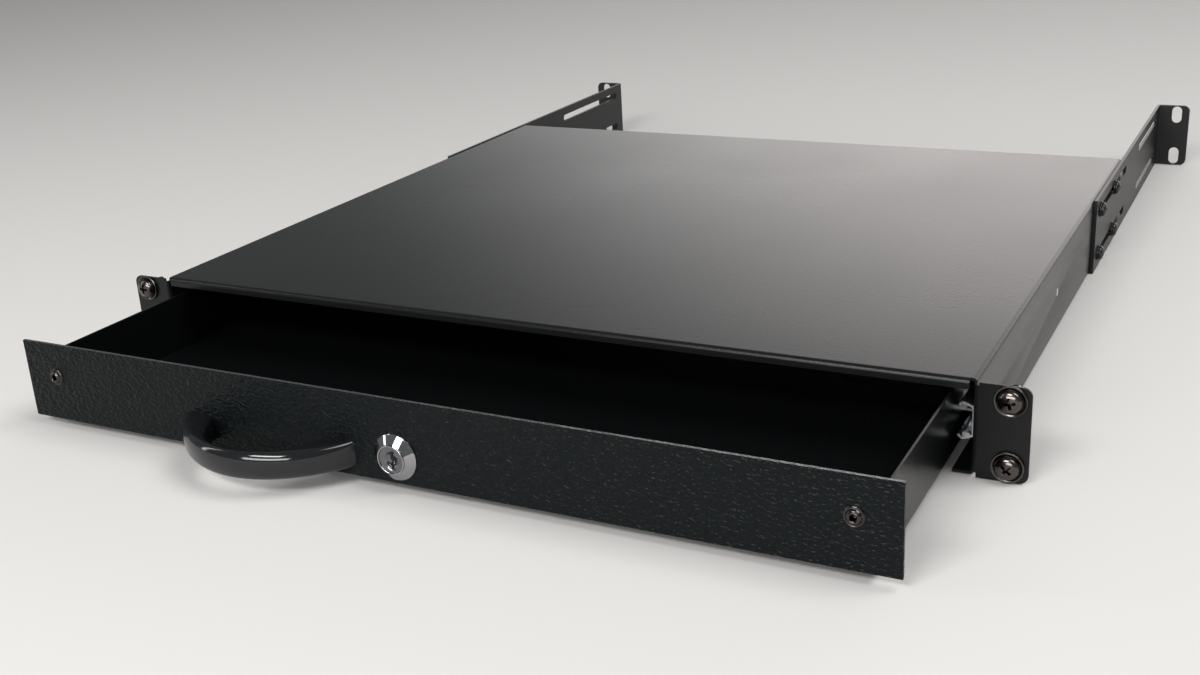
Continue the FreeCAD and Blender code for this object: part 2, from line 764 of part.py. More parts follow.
def make_runner(name, side):
    """The inner member, grooved along both flanges for the balls."""
    body = new_body(name)
    web = s.slide_sheet
    rise, under = s.runner_half_height, s.runner_half_height - web
    far, near = s.slide_space, s.slide_space - web
    ball, tip = s.ball_from_wall, s.runner_tip_gap
    outer = race + web

    def half_chord(radius, level):
        drop = s.ball_row_height - level
        return root(radius * radius - drop * drop)

    groove, bulge = half_chord(race, rise), half_chord(outer, under)
    add(body, "XZ", runner_front, runner_rear, section(
        side, (far, -rise), (far, rise),
        (ball + groove, rise), (ball - groove, rise, -race), (tip, rise), (tip, under),
        (ball - bulge, under), (ball + bulge, under, outer), (near, under), (near, -under),
        (ball + bulge, -under), (ball - bulge, -under, outer), (tip, -under), (tip, -rise),
        (ball - groove, -rise), (ball + groove, -rise, -race)))

    # A tab at the rear end draws the cage along at the end of the travel.
    tab_half = s.runner_stop_width / 2
    left, right = span(side, wall_in - s.cage_width - tab_half, wall_in - s.cage_width + tab_half)
    add(body, "XZ", runner_rear - s.stop_thickness, runner_rear,
        box(left, right, s.slide_height - s.cage_half_height, s.slide_height - under))
    cut(body, "YZ", *span(side, tray_half, tray_half + 2 * web),
        *[circle(y, s.slide_height, rivet_hole)
          for y in row_places(runner_rivet_first, runner_rivet_span)])


def make_runner_rivets():
    body = new_body("runner_rivets")
    grip = s.tray_sheet + s.slide_sheet
    radius, head, tall = s.slide_rivet_radius, s.runner_rivet_head_radius, s.runner_rivet_head_height
    dome = (head * head + tall * tall) / (2 * tall)
    one = turn(body, "XZ", runner_rivet_first, tray_half - s.tray_sheet, s.slide_height,
               loop((grip + tall, 0), Arc(grip, head, dome), (grip, radius), (0, radius), (0, head),
                    Arc(-tall, 0, dome)))
    repeat(body, [one], ("Y", runner_rivet_span, s.slide_rivets_in_row), both_sides=True)


def cage_balls():
    """How far the first ball stands behind the cage's front end, and how long a row is."""
    row_length = s.ball_spacing * (s.balls_in_row - 1)
    return (s.cage_length - row_length) / 2, row_length


def make_ball_cage(name, side):
    """The strip that spaces the balls, folded round the runner."""
    body = new_body(name)
    web_near = s.slide_sheet + s.cage_gap
    outside = [(wall_in - s.cage_width, -s.cage_half_height), (wall_in - web_near, -s.cage_half_height),
               (wall_in - web_near, s.cage_half_height), (wall_in - s.cage_width, s.cage_half_height)]
    path = [(side * x, s.slide_height + rise) for x, rise in outside]
    add(body, "XZ", cage_front, cage_rear, folded(s.cage_sheet, *path[::side]))
    margin, row_length = cage_balls()
    gaps = s.balls_in_row - 1
    cut(body, "XY", s.slide_height - 2 * s.cage_half_height, s.slide_height + 2 * s.cage_half_height,
        *[circle(side * (wall_in - s.ball_from_wall), cage_front + margin + row_length * index / gaps,
                 s.ball_radius + s.cage_hole_play) for index in range(int(s.balls_in_row.number))])


def make_balls(name, side):
    body = new_body(name)
    margin, row_length = cage_balls()
    ball = body.newObject("PartDesign::AdditiveSphere", name + "_ball")
    ball.AttachmentSupport = [(origin_part(body, "XY_Plane"), "")]
    ball.MapMode = "FlatFace"
    bind(ball, "Radius", s.ball_radius)
    bind(ball, "AttachmentOffset.Base.x", side * (wall_in - s.ball_from_wall))
    bind(ball, "AttachmentOffset.Base.y", cage_front + margin)
    bind(ball, "AttachmentOffset.Base.z", s.slide_height - s.ball_row_height)
    settle(body, ball)
    repeat(body, [ball], ("Y", row_length, s.balls_in_row), ("Z", 2 * s.ball_row_height, 2))


# Tray: one sheet, folded up on all four sides

def front_holes():
    """The holes that the tray's front wall and the front panel share."""
    return [*[circle(side * panel_rivet_x, s.panel_rivet_middle,
                     s.panel_rivet_shank_radius + s.panel_rivet_play) for side in (1, -1)],
            *[circle(x, s.handle_middle, screw_hole) for x in handle_screw_x],
            circle(s.lock_place, s.lock_middle, s.lock_barrel_radius + s.lock_hole_play)]


def make_tray():
    body = new_body("tray")
    thick, floor = s.tray_sheet, s.tray_floor_height
    outside_bend = s.bend_radius + thick
    front, rear = panel_back, panel_back + tray_depth
    add(body, "XZ", front + outside_bend, rear - outside_bend,
        folded(thick, (-tray_half, tray_top), (-tray_half, floor), (tray_half, floor),
               (tray_half, tray_top)))
    # Over the folds the side walls run the whole depth; at the corners the folds are relieved.
    for side in (1, -1):
        add(body, "YZ", *span(side, tray_half - thick, tray_half),
            box(front, rear, floor + outside_bend, tray_top))
    end_half = tray_half - outside_bend
    lap = outside_bend + thick
    for path in ([(front, tray_top), (front, floor), (front + lap, floor)],
                 [(rear - lap, floor), (rear, floor), (rear, tray_top)]):
        add(body, "YZ", -end_half, end_half, folded(thick, *path))
    cut(body, "XZ", front - thick, front + 2 * thick, *front_holes())
    cut(body, "YZ", -tray_half - thick, tray_half + thick,
        *[circle(y, s.slide_height, rivet_hole)
          for y in row_places(runner_rivet_first, runner_rivet_span)])


# Front panel, its rivets, the handle and the lock

def make_front_panel():
    """A sheet with its lower edge folded back under the tray, between two plain ends."""
    body = new_body("front_panel")
    thick = s.panel_sheet
    underside = s.tray_floor_height - thick
    flange_half = panel_half - s.panel_flange_inset
    add(body, "YZ", -flange_half, flange_half,
        folded(thick, (panel_front, roof), (panel_front, underside),
               (panel_front + s.panel_flange_width, underside)))
    add(body, "XZ", panel_front, panel_back,
        box(-panel_half, panel_half, underside + s.panel_end_height, roof))
    cut(body, "XZ", panel_front - thick, panel_back + thick, *front_holes())


def make_panel_rivets():
    """Blind rivets: a flange with a raised ring outside, the bulb drawn up inside the tray."""
    body = new_body("panel_rivets")
    crown, edge = s.panel_rivet_crown_height, s.panel_rivet_head_thickness
    grip = s.panel_sheet + s.tray_sheet
    bulb, bulb_length = s.panel_rivet_bulb_radius, s.panel_rivet_bulb_length
    bulb_arc = (bulb * bulb + bulb_length * bulb_length) / (2 * bulb_length)
    one = turn(body, "YZ", panel_rivet_x, panel_front, s.panel_rivet_middle,
               loop((s.panel_rivet_bore_depth - crown, 0),
                    (s.panel_rivet_bore_depth - crown, s.panel_rivet_bore_radius),
                    (-crown, s.panel_rivet_bore_radius),
                    Arc(-edge, s.panel_rivet_crown_radius, -s.panel_rivet_crown_radius / 2),
                    (-edge, s.panel_rivet_head_radius), (0, s.panel_rivet_head_radius),
                    (0, s.panel_rivet_shank_radius), (grip, s.panel_rivet_shank_radius),
                    (grip, bulb), Arc(grip + bulb_length, 0, -bulb_arc)))
    mirror(body, [one])


def bow(half_span, reach):
    """The radius of an arc that rises by reach over half its span."""
    return (half_span * half_span + reach * reach) / (2 * reach)


def make_pull_handle():
    """A moulded arch, thick at its feet and thin at its middle."""
    body = new_body("pull_handle")
    outer, inner = s.handle_width / 2, s.handle_inside_width / 2
    outer_bow, inner_bow = bow(outer, s.handle_depth), bow(inner, s.handle_inside_depth)
    place, low = s.handle_place, s.handle_middle - s.handle_height / 2
    top = s.handle_middle + s.handle_height / 2
    add(body, "XY", low, top,
        loop((place - outer, panel_front),
             Arc(place, panel_front - s.handle_depth, outer_bow),
             Arc(place + outer, panel_front, outer_bow), (place + inner, panel_front),
             Arc(place, panel_front - s.handle_inside_depth, -inner_bow),
             Arc(place - inner, panel_front, -inner_bow)))
    soften(body, s.handle_edge_radius, lambda edge: is_arc(edge, outer_bow) or is_arc(edge, inner_bow))
    cut(body, "XZ", panel_front - s.handle_screw_depth - s.handle_bore_play, panel_front,
        *[circle(x, s.handle_middle, s.screw_radius + s.thread_fit) for x in handle_screw_x])


def make_handle_screws():
    body = new_body("handle_screws")
    length = tray_wall_back - panel_front + s.handle_screw_depth
    one = turn(body, "YZ", handle_screw_x[0], tray_wall_back, s.handle_middle, pan_head(length))
    repeat(body, [one], ("X", s.handle_screw_spacing, 2))


def make_lock_housing():
    """The chromed bezel and threaded barrel, bored for the plug."""
    body = new_body("lock_housing")
    face = -s.lock_bezel_height
    seat = face + s.plug_recess + s.plug_head_length
    head_bore, bore = s.plug_head_radius + s.lock_fit, s.plug_radius + s.lock_fit
    turn(body, "YZ", s.lock_place, panel_front, s.lock_middle,
         loop((face, head_bore), (seat, head_bore), (seat, bore), (s.lock_barrel_length, bore),
              (s.lock_barrel_length, s.lock_barrel_radius), (0, s.lock_barrel_radius),
              (0, s.lock_bezel_radius), (-s.lock_bezel_rim, s.lock_bezel_radius),
              (face, s.lock_ring_radius)))


def make_lock_nut():
    body = new_body("lock_nut")
    add(body, "XZ", tray_wall_back, tray_wall_back + s.lock_nut_thickness,
        hexagon(s.lock_place, s.lock_middle, s.lock_nut_across_flats),
        circle(s.lock_place, s.lock_middle, s.lock_barrel_radius + s.lock_fit))


def make_lock_plug():
    """The turning core, with a square end that drives the cam."""
    body = new_body("lock_plug")
    face = s.plug_recess - s.lock_bezel_height
    seat = face + s.plug_head_length - s.lock_fit
    rear = s.lock_barrel_length + s.plug_proud
    turn(body, "YZ", s.lock_place, panel_front, s.lock_middle,
         loop((face, 0), (face, s.plug_head_radius), (seat, s.plug_head_radius),
              (seat, s.plug_radius), (rear, s.plug_radius), (rear, 0)))
    half = s.plug_square_width / 2
    add(body, "XZ", cam_front - s.plug_proud, cam_front + s.plug_square_length,
        box(s.lock_place - half, s.lock_place + half, s.lock_middle - half, s.lock_middle + half))
    end = cam_front + s.plug_square_length
    cut(body, "XZ", end - s.plug_bore_depth, end,
        circle(s.lock_place, s.lock_middle, s.cam_screw_radius + s.thread_fit))
    cut(body, "XZ", panel_front + face, panel_front + face + s.keyway_depth,
        slot(s.lock_place, s.lock_middle, s.keyway_height, s.keyway_width, upright=True))


def make_lock_cam():
    """The latch: cranked forward past the nut, so that its round tip passes behind the lip."""
    body = new_body("lock_cam")
    thick, angle = s.cam_sheet, s.cam_crank_angle
    tip_front = tray_wall_back + s.cam_tip_gap
    crank = s.lock_place + s.cam_arm_length
    knee = crank + (cam_front - tip_front) / tangent(angle)
    shift = thick * tangent(angle / 2)
    half = s.cam_width / 2
    start, end = s.lock_place - half, knee + s.cam_tip_length
    add(body, "XY", s.lock_middle - half, s.lock_middle + half,
        loop((start, cam_front), (crank, cam_front), (knee, tip_front), (end, tip_front),
             (end, tip_front + thick), (knee + shift, tip_front + thick), (crank + shift, cam_back),
             (start, cam_back)))
    soften(body, half * NEARLY_ALL, lambda edge: runs_along(edge, ALONG_Y))
    hole = s.plug_square_width / 2 + s.lock_fit
    cut(body, "XZ", cam_front - thick, cam_back + thick,
        box(s.lock_place - hole, s.lock_place + hole, s.lock_middle - hole, s.lock_middle + hole))


def make_cam_fasteners():
    washer = new_body("cam_washer")
    seat = cam_back + s.washer_thickness
    add(washer, "XZ", cam_back, seat, circle(s.lock_place, s.lock_middle, s.washer_radius),
        circle(s.lock_place, s.lock_middle, s.cam_screw_radius + s.cam_screw_play))
    screw = new_body("cam_screw")
    length = s.washer_thickness + s.cam_screw_depth
    turn(screw, "YZ", s.lock_place, seat, s.lock_middle,
         loop((s.cam_screw_head_height, 0),
              Corner(s.cam_screw_head_height, s.cam_screw_head_radius, s.cam_screw_edge_radius),
              (0, s.cam_screw_head_radius), (0, s.cam_screw_radius), (-length, s.cam_screw_radius),
              (-length, 0)))


make_housing()
make_bracket_fasteners()
make_slide_rivets()
make_tray()
make_front_panel()
make_panel_rivets()
make_pull_handle()
make_handle_screws()
make_runner_rivets()
make_lock_housing()
make_lock_nut()
make_lock_plug()
make_lock_cam()
make_cam_fasteners()
for side_name, side in (("left", -1), ("right", 1)):
    make_rear_bracket("rear_bracket_" + side_name, side)
    make_channel("slide_channel_" + side_name, side)
    make_runner("slide_runner_" + side_name, side)
    make_ball_cage("ball_cage_" + side_name, side)
    make_balls("balls_" + side_name, side)

# Check everything before anything is written.
for item in doc.Objects:
    if {"Invalid", "Error"} & set(item.State):
        raise RuntimeError("%s is %s" % (item.Label, item.State))
for body in NODES:
    if body.Shape.isNull() or not body.Shape.isValid():
        raise RuntimeError("%s has no valid shape" % body.Label)

os.makedirs("parts", exist_ok=True)
for body in NODES:
    body.Shape.exportStep("parts/%s.step" % body.Label)
    print("%-22s %2d solids %9.1f mm3" % (body.Label, len(body.Shape.Solids), body.Shape.Volume))
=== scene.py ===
import math

import bmesh
import bpy
from mathutils import Euler, Matrix, Vector


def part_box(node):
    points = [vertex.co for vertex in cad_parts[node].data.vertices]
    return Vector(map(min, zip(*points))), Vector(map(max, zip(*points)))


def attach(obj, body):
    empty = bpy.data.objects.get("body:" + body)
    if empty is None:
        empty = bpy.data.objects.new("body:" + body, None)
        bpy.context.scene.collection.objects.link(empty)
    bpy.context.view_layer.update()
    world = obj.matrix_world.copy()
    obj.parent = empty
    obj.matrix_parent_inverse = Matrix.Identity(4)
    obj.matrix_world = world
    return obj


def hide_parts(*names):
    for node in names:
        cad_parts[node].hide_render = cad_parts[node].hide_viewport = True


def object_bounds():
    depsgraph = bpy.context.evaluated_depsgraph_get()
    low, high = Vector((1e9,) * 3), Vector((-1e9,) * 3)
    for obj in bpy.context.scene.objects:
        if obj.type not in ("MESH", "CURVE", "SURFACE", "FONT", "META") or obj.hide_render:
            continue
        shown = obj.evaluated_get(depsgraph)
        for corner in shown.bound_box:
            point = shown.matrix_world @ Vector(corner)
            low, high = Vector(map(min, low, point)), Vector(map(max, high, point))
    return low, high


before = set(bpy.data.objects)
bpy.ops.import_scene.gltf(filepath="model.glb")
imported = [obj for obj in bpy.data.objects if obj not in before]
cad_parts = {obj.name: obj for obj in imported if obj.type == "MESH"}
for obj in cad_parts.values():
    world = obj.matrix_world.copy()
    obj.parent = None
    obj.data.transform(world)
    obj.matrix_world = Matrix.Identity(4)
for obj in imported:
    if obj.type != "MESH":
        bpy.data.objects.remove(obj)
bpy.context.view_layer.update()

scene = bpy.context.scene
scene.view_settings.view_transform = "Standard"
mm = 0.001


# Room: a pale floor that reaches past the view, and dim walls but for a broad lit one behind the
# drawer, whose light fades to both sides and upwards. What the camera sees of the walls directly,
# past the floor's edge, is evenly lit.

class Value:
    """A shader socket; sums, differences and products of it become Math nodes."""

    def __init__(self, finish, socket):
        self.finish, self.socket = finish, socket

    def math(self, operation, first, second):
        return self.finish.node("Math", {"operation": operation}, {0: first, 1: second})

    def __add__(self, other):
        return self.math("ADD", self, other)

    def __radd__(self, other):
        return self.math("ADD", other, self)

    def __sub__(self, other):
        return self.math("SUBTRACT", self, other)

    def __rsub__(self, other):
        return self.math("SUBTRACT", other, self)

    def __mul__(self, other):
        return self.math("MULTIPLY", self, other)

    def __rmul__(self, other):
        return self.math("MULTIPLY", other, self)


class Finish:
    """A finish in the making: a tree of shader nodes, and the surface or world that they feed."""

    def __init__(self, name, holder=None, surface="Principled BSDF"):
        self.material = holder or bpy.data.materials.new(name)
        self.material.use_nodes = True
        self.tree = self.material.node_tree
        self.surface = self.tree.nodes[surface]

    def node(self, kind, settings=None, sockets=None, output=0):
        made = self.tree.nodes.new("ShaderNode" + kind)
        for name, value in (settings or {}).items():
            setattr(made, name, value)
        for name, value in (sockets or {}).items():
            self.feed(made.inputs[name], value)
        return Value(self, made.outputs[output])

    def feed(self, socket, value):
        if isinstance(value, Value):
            self.tree.links.new(value.socket, socket)
        elif socket.type == "RGBA":
            socket.default_value = (*value, 1)
        else:
            socket.default_value = value

    def paint(self, **sockets):
        """Set the surface's sockets, named with underscores for spaces."""
        for name, value in sockets.items():
            self.feed(self.surface.inputs[name.replace("_", " ")], value)
        return self


floor_colour = (0.60, 0.583, 0.567)
floor_half, floor_gap = 7.0, 0.4 * mm
floor_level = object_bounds()[0].z - floor_gap

floor_mesh = bpy.data.meshes.new("floor")
corners = [(-floor_half, -floor_half), (floor_half, -floor_half),
           (floor_half, floor_half), (-floor_half, floor_half)]
floor_mesh.from_pydata([(x, y, floor_level) for x, y in corners], [], [(0, 1, 2, 3)])
floor = bpy.data.objects.new("floor", floor_mesh)
scene.collection.objects.link(floor)
pale_floor = Finish("pale_floor").paint(Base_Color=floor_colour, Roughness=0.85)
floor_mesh.materials.append(pale_floor.material)

dim_wall, lit_wall, seen_wall = 0.23, 2.55, 0.62
dim_tint, lit_tint = (0.97, 1.0, 1.0), (1.0, 0.94, 0.92)
room = Finish("room", bpy.data.worlds.new("room"), "Background")


def lit_share(way, dark, full):
    """How much of the lit wall shows along one axis: none at dark, all of it at full."""
    return room.node("MapRange", {"interpolation_type": "SMOOTHSTEP"},
                     {"Value": way, "From Min": dark, "From Max": full})


way = room.node("TexCoord")
way_back, way_up = (room.node("SeparateXYZ", sockets={0: way}, output=axis) for axis in (1, 2))
sideways, upwards = lit_share(way_back, 0.70, 0.98), lit_share(way_up, 0.62, 0.30)
glow = sideways * sideways * upwards
seen = room.node("LightPath")
tint = room.node("Mix", {"data_type": "RGBA"}, {0: glow, 6: dim_tint, 7: lit_tint}, 2)
room.paint(Color=tint, Strength=(dim_wall + glow * lit_wall) * (1 - seen) + seen * seen_wall)
scene.world = room.material


# Studio lamps: a wide box high up on the right, one in front that draws the lines of light along
# the folds and the handle, a long low one for the relief of the coats, and a weak upright strip on
# the left.

def softbox(name, place, target, width, tall, watts):
    """A rectangular lamp at a place, turned to its target."""
    lamp = bpy.data.lights.new(name, "AREA")
    lamp.shape = "RECTANGLE"
    lamp.size, lamp.size_y = width, tall
    lamp.energy = watts
    holder = bpy.data.objects.new(name, lamp)
    holder.location = place
    holder.rotation_euler = (Vector(target) - Vector(place)).to_track_quat("-Z", "Y").to_euler()
    scene.collection.objects.link(holder)


softbox("high_box", (1.45, 0.15, 2.1), (0.35, 0.0, 0.0), width=1.6, tall=1.4, watts=44)
softbox("front_box", (-0.10, -1.35, 1.15), (0.0, 0.0, 0.0), width=0.8, tall=0.36, watts=19)
softbox("low_strip", (0.05, -2.9, 0.72), (0.0, 0.0, 0.0), width=2.3, tall=0.6, watts=50)
softbox("left_strip", (-1.1, -0.55, 0.45), (-0.07, -0.12, 0.0), width=0.12, tall=0.9, watts=2)


# Camera: it stands in front of the open drawer's right end, a little above it, and looks back to
# the left and down.

camera = bpy.data.cameras.new("camera")
camera.sensor_width = 36
camera.lens = 42.82
camera_holder = bpy.data.objects.new("camera", camera)
camera_holder.location = (0.33688, -0.54447, 0.24957)
camera_holder.rotation_euler = Euler([math.radians(turn) for turn in (69.487, 3.083, 27.011)])
scene.collection.objects.link(camera_holder)
scene.camera = camera_holder


# Housing: one steel sheet folded into top, walls, lips and ears, in a satin black powder coat with
# a fine grain. The coat eases every sheared edge, so the piece is the folded sheet with soft edges.

same_place = 0.001 * mm


def seat(piece, finish, body, slot, *nodes):
    """Give a piece its finish, fix it to its body, and let it stand for the CAD nodes named."""
    piece.data.materials.clear()
    piece.data.materials.append(finish.material)
    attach(piece, body)
    if nodes:
        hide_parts(*nodes)


def new_piece(name, work, sharp_from=35):
    """Turn finished mesh work into a piece with smooth faces between its sharp edges."""
    bmesh.ops.recalc_face_normals(work, faces=work.faces)
    mesh = bpy.data.meshes.new(name)
    work.to_mesh(mesh)
    work.free()
    mesh.shade_smooth()
    mesh.set_sharp_from_angle(angle=math.radians(sharp_from))
    piece = bpy.data.objects.new(name, mesh)
    scene.collection.objects.link(piece)
    return piece


def welded(work):
    """Join the corners of a mesh that lie on one another."""
    bmesh.ops.remove_doubles(work, verts=work.verts, dist=same_place)
    return work


def eased_sheet(node, finish, body, slot, edge_radius):
    """The folded sheet of a CAD node, with its edges rounded over by the coat."""
    work = bmesh.new()
    work.from_mesh(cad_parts[node].data)
    welded(work)
    bmesh.ops.dissolve_limit(work, angle_limit=math.radians(0.2), verts=work.verts,
                             edges=work.edges)
    piece = new_piece(node + "_sheet", work)
    bevel = piece.modifiers.new("eased_edges", "BEVEL")
    bevel.width = edge_radius
    bevel.segments = 2
    bevel.limit_method = "ANGLE"
    bevel.angle_limit = math.radians(40)
    bevel.use_clamp_overlap = True
    bevel.harden_normals = True
    seat(piece, finish, body, slot, node)


def powder_coat(name, colour, roughness, grain, depth, shine=0.23):
    """A sprayed and baked powder: a fine orange-peel skin, with slow changes of gloss over it."""
    finish = Finish(name)
    place = finish.node("TexCoord", output="Object")
    skin = finish.node("TexNoise", sockets={"Vector": place, "Scale": 1 / grain, "Detail": 3.0})
    cloud = finish.node("TexNoise", sockets={"Vector": place, "Scale": 8.0, "Detail": 2.0})
    bump = finish.node("Bump", sockets={"Height": skin, "Distance": depth})
    return finish.paint(Base_Color=colour, Roughness=roughness + (cloud - 0.5) * 0.08, Normal=bump,
                        Specular_IOR_Level=shine)


housing_coat = powder_coat("housing_coat", (0.006, 0.0062, 0.0065), roughness=0.28,
                           grain=1.4 * mm, depth=0.05 * mm)
eased_sheet("housing", housing_coat, "chassis", "black_powder_coat", edge_radius=0.25 * mm)


# Rear brackets: straps of thicker steel sheet with long slots, in a duller black powder coat. Each
# is held to its side wall by four pan-head screws.

bracket_coat = powder_coat("bracket_coat", (0.012, 0.012, 0.0125), roughness=0.38,
                           grain=1.3 * mm, depth=0.07 * mm)
for side in ("left", "right"):
    eased_sheet("rear_bracket_" + side, bracket_coat, "bracket_" + side, "black_powder_coat",
                edge_radius=0.3 * mm)


# Bracket screws: black zinc-plated pan heads with a driven cross recess, each through a plain
# washer, the bracket's slot and the housing's wall into a nut inside.

def rounded(outline, steps=4):
    """Round the corners of an outline of points (along, radius) or (along, radius, rounding)."""
    points = []
    for index, (along, out, *rounding) in enumerate(outline):
        here = Vector((along, out))
        if not rounding:
            points.append(here)
            continue
        before = (Vector(outline[index - 1][:2]) - here).normalized()
        after = (Vector(outline[index + 1][:2]) - here).normalized()
        half = before.angle(after) / 2
        reach = rounding[0] / math.tan(half)
        centre = here + (before + after).normalized() * rounding[0] / math.sin(half)
        start, stop = here + before * reach - centre, here + after * reach - centre
        for step in range(steps + 1):
            turned_by = start.normalized().slerp(stop.normalized(), step / steps)
            points.append(centre + turned_by * rounding[0])
    return points


def turned(outline, around=48):
    """A shape turned about Z; the outline runs from axis to axis, or round to its own start."""
    work = bmesh.new()
    rings = []
    for along, out in rounded(outline):
        if out < same_place:
            rings.append([work.verts.new((0, 0, along))])
            continue
        turns = [2 * math.pi * step / around for step in range(around)]
        rings.append([work.verts.new((out * math.cos(t), out * math.sin(t), along)) for t in turns])
    for low_ring, high_ring in zip(rings, rings[1:]):
        for step in range(around):
            following = (step + 1) % around
            corners = [low_ring[step % len(low_ring)], low_ring[following % len(low_ring)],
                       high_ring[following % len(high_ring)], high_ring[step % len(high_ring)]]
            corners = [corner for at, corner in enumerate(corners) if corner not in corners[:at]]
            if len(corners) > 2:
                work.faces.new(corners)
    return work


def cut_out(work, cutter):
    """Cut one closed shape out of another and return the work that is left."""
    pieces = []
    for shape in (work, cutter):
        mesh = bpy.data.meshes.new("cut")
        bmesh.ops.recalc_face_normals(shape, faces=shape.faces)
        shape.to_mesh(mesh)
        shape.free()
        pieces.append(bpy.data.objects.new("cut", mesh))
        scene.collection.objects.link(pieces[-1])
    boolean = pieces[0].modifiers.new("cut", "BOOLEAN")
    boolean.object = pieces[1]
    boolean.solver = "EXACT"
    result = bmesh.new()
    result.from_object(pieces[0], bpy.context.evaluated_depsgraph_get())
    for piece in pieces:
        bpy.data.objects.remove(piece)
    return result


def skinned(work, rings):
    """Skin rings of corners in their order, and close the first and the last."""
    for ring, following in zip(rings, rings[1:]):
        for step in range(len(ring)):
            after = (step + 1) % len(ring)
            work.faces.new((ring[step], ring[after], following[after], following[step]))
    work.faces.new(rings[0][::-1])
    work.faces.new(rings[-1])
    return work


def cross_cutter(top, span, arm, depth):
    """A driver's tip: a cross that narrows towards its point."""
    work = bmesh.new()
    half, reach = arm / 2, span / 2
    cross = [(half, reach), (half, half), (reach, half), (reach, -half), (half, -half),
             (half, -reach), (-half, -reach), (-half, -half), (-reach, -half), (-reach, half),
             (-half, half), (-half, reach)]
    levels = [(top + depth, 1.25, 1.15), (top, 1.0, 1.0), (top - depth, 0.42, 0.6)]
    rings = []
    for level, spread, thick in levels:
        rings.append([work.verts.new((x * (spread if abs(x) > half else thick),
                                      y * (spread if abs(y) > half else thick), level))
                      for x, y in cross])
    return skinned(work, rings)


def pan_head(head_radius, head_height, shank_radius, length, pitch, turn):
    """A pan-head screw along Z, its seat at zero, with a cross recess and a rolled thread."""
    edge, crown_steps = head_height * 0.38, 9
    crown = [(edge, head_radius, 0.3 * mm)]
    for step in range(1, crown_steps):
        share = step / crown_steps
        crown.append((edge + (head_height - edge) * math.sin(share * math.pi / 2),
                      head_radius * math.cos(share * math.pi / 2)))
    threads = []
    along = -0.8 * mm
    while along > -length + pitch:
        threads += [(along, shank_radius), (along - pitch / 2, shank_radius - pitch * 0.3)]
        along -= pitch
    tip = [(-length + 0.3 * mm, shank_radius - 0.1 * mm), (-length, shank_radius - 0.5 * mm),
           (-length, 0)]
    head = [(head_height, 0)] + crown[::-1] + [(0, head_radius, 0.15 * mm), (0, shank_radius)]
    recess = cross_cutter(head_height, span=head_radius * 1.12, arm=head_radius * 0.26,
                          depth=head_height * 0.72)
    work = cut_out(turned(head + threads + tip), recess)
    bmesh.ops.rotate(work, verts=work.verts, matrix=Matrix.Rotation(math.radians(turn), 3, "Z"))
    return work


def set_all(name, shape, places, facing):
    """Copies of a shape at each place, Z turned to its facing direction and each twisted on."""
    degrees_apart = 37
    work = bmesh.new()
    mesh = bpy.data.meshes.new("shape")
    shape.to_mesh(mesh)
    shape.free()
    for index, (place, way) in enumerate(zip(places, facing)):
        before = len(work.verts)
        work.from_mesh(mesh)
        work.verts.ensure_lookup_table()
        fresh = work.verts[before:]
        twist = Matrix.Rotation(math.radians(degrees_apart * index), 4, "Z")
        turn = Vector(way).to_track_quat("Z", "Y").to_matrix().to_4x4()
        bmesh.ops.transform(work, matrix=Matrix.Translation(place) @ turn @ twist, verts=fresh)
    bpy.data.meshes.remove(mesh)
    return new_piece(name, work, sharp_from=30)


def metal(name, colour, roughness, scratch=0.0, along=(1, 1, 1)):
    """A plated metal: a little uneven in gloss, with fine marks along one direction."""
    finish = Finish(name)
    place = finish.node("TexCoord", output="Object")
    drawn = finish.node("VectorMath", {"operation": "MULTIPLY"}, {0: place, 1: along})
    marks = finish.node("TexNoise", sockets={"Vector": drawn, "Scale": 900.0, "Detail": 4.0})
    cloud = finish.node("TexNoise", sockets={"Vector": place, "Scale": 60.0, "Detail": 3.0})
    gloss = roughness + (cloud - 0.5) * roughness * 0.5 + (marks - 0.5) * scratch
    bump = finish.node("Bump", sockets={"Height": marks, "Distance": 0.01 * mm, "Strength": 0.3})
    return finish.paint(Base_Color=colour, Metallic=1.0, Roughness=gloss, Normal=bump)


small_head_radius, nut_thickness, past_nut = 4.0 * mm, 3.2 * mm, 0.9 * mm


def small_screw(length, turn):
    """The 4 mm screw that holds the brackets and the handle."""
    return pan_head(small_head_radius, head_height=2.7 * mm, shank_radius=2.0 * mm, length=length,
                    pitch=0.7 * mm, turn=turn)


black_zinc = metal("black_zinc", (0.055, 0.054, 0.056), roughness=0.30)
lows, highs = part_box("bracket_screws")
head_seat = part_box("bracket_washers")[1].x
nut_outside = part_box("bracket_nuts")[1].x
screw_rows = [lows.z + small_head_radius, highs.z - small_head_radius]
screw_places = [lows.y + small_head_radius, highs.y - small_head_radius]
places, ways = [], []
for side in (1, -1):
    for y in screw_places:
        for z in screw_rows:
            places.append(Vector((side * head_seat, y, z)))
            ways.append((side, 0, 0))
length = head_seat - (nut_outside - nut_thickness) + past_nut
screws = set_all("bracket_pan_screws", small_screw(length, turn=20), places, ways)
seat(screws, black_zinc, "chassis", "black_zinc_screw", "bracket_screws")

washer_bore, washer_radius, washer_under = 2.25 * mm, 4.5 * mm, -0.76 * mm
washer = welded(turned([
    (washer_under, washer_bore), (washer_under, washer_radius, 0.1 * mm),
    (0, washer_radius, 0.2 * mm), (0, washer_bore), (washer_under, washer_bore)]))
washers = set_all("bracket_plain_washers", washer, places, ways)
seat(washers, black_zinc, "chassis", "black_zinc_screw", "bracket_washers")


# Rack screws: 6 mm pan heads in dark nickel, set in black steel cup washers with a raised rim.
# Two on each side go through the ear's slots and clamp it to the rack.

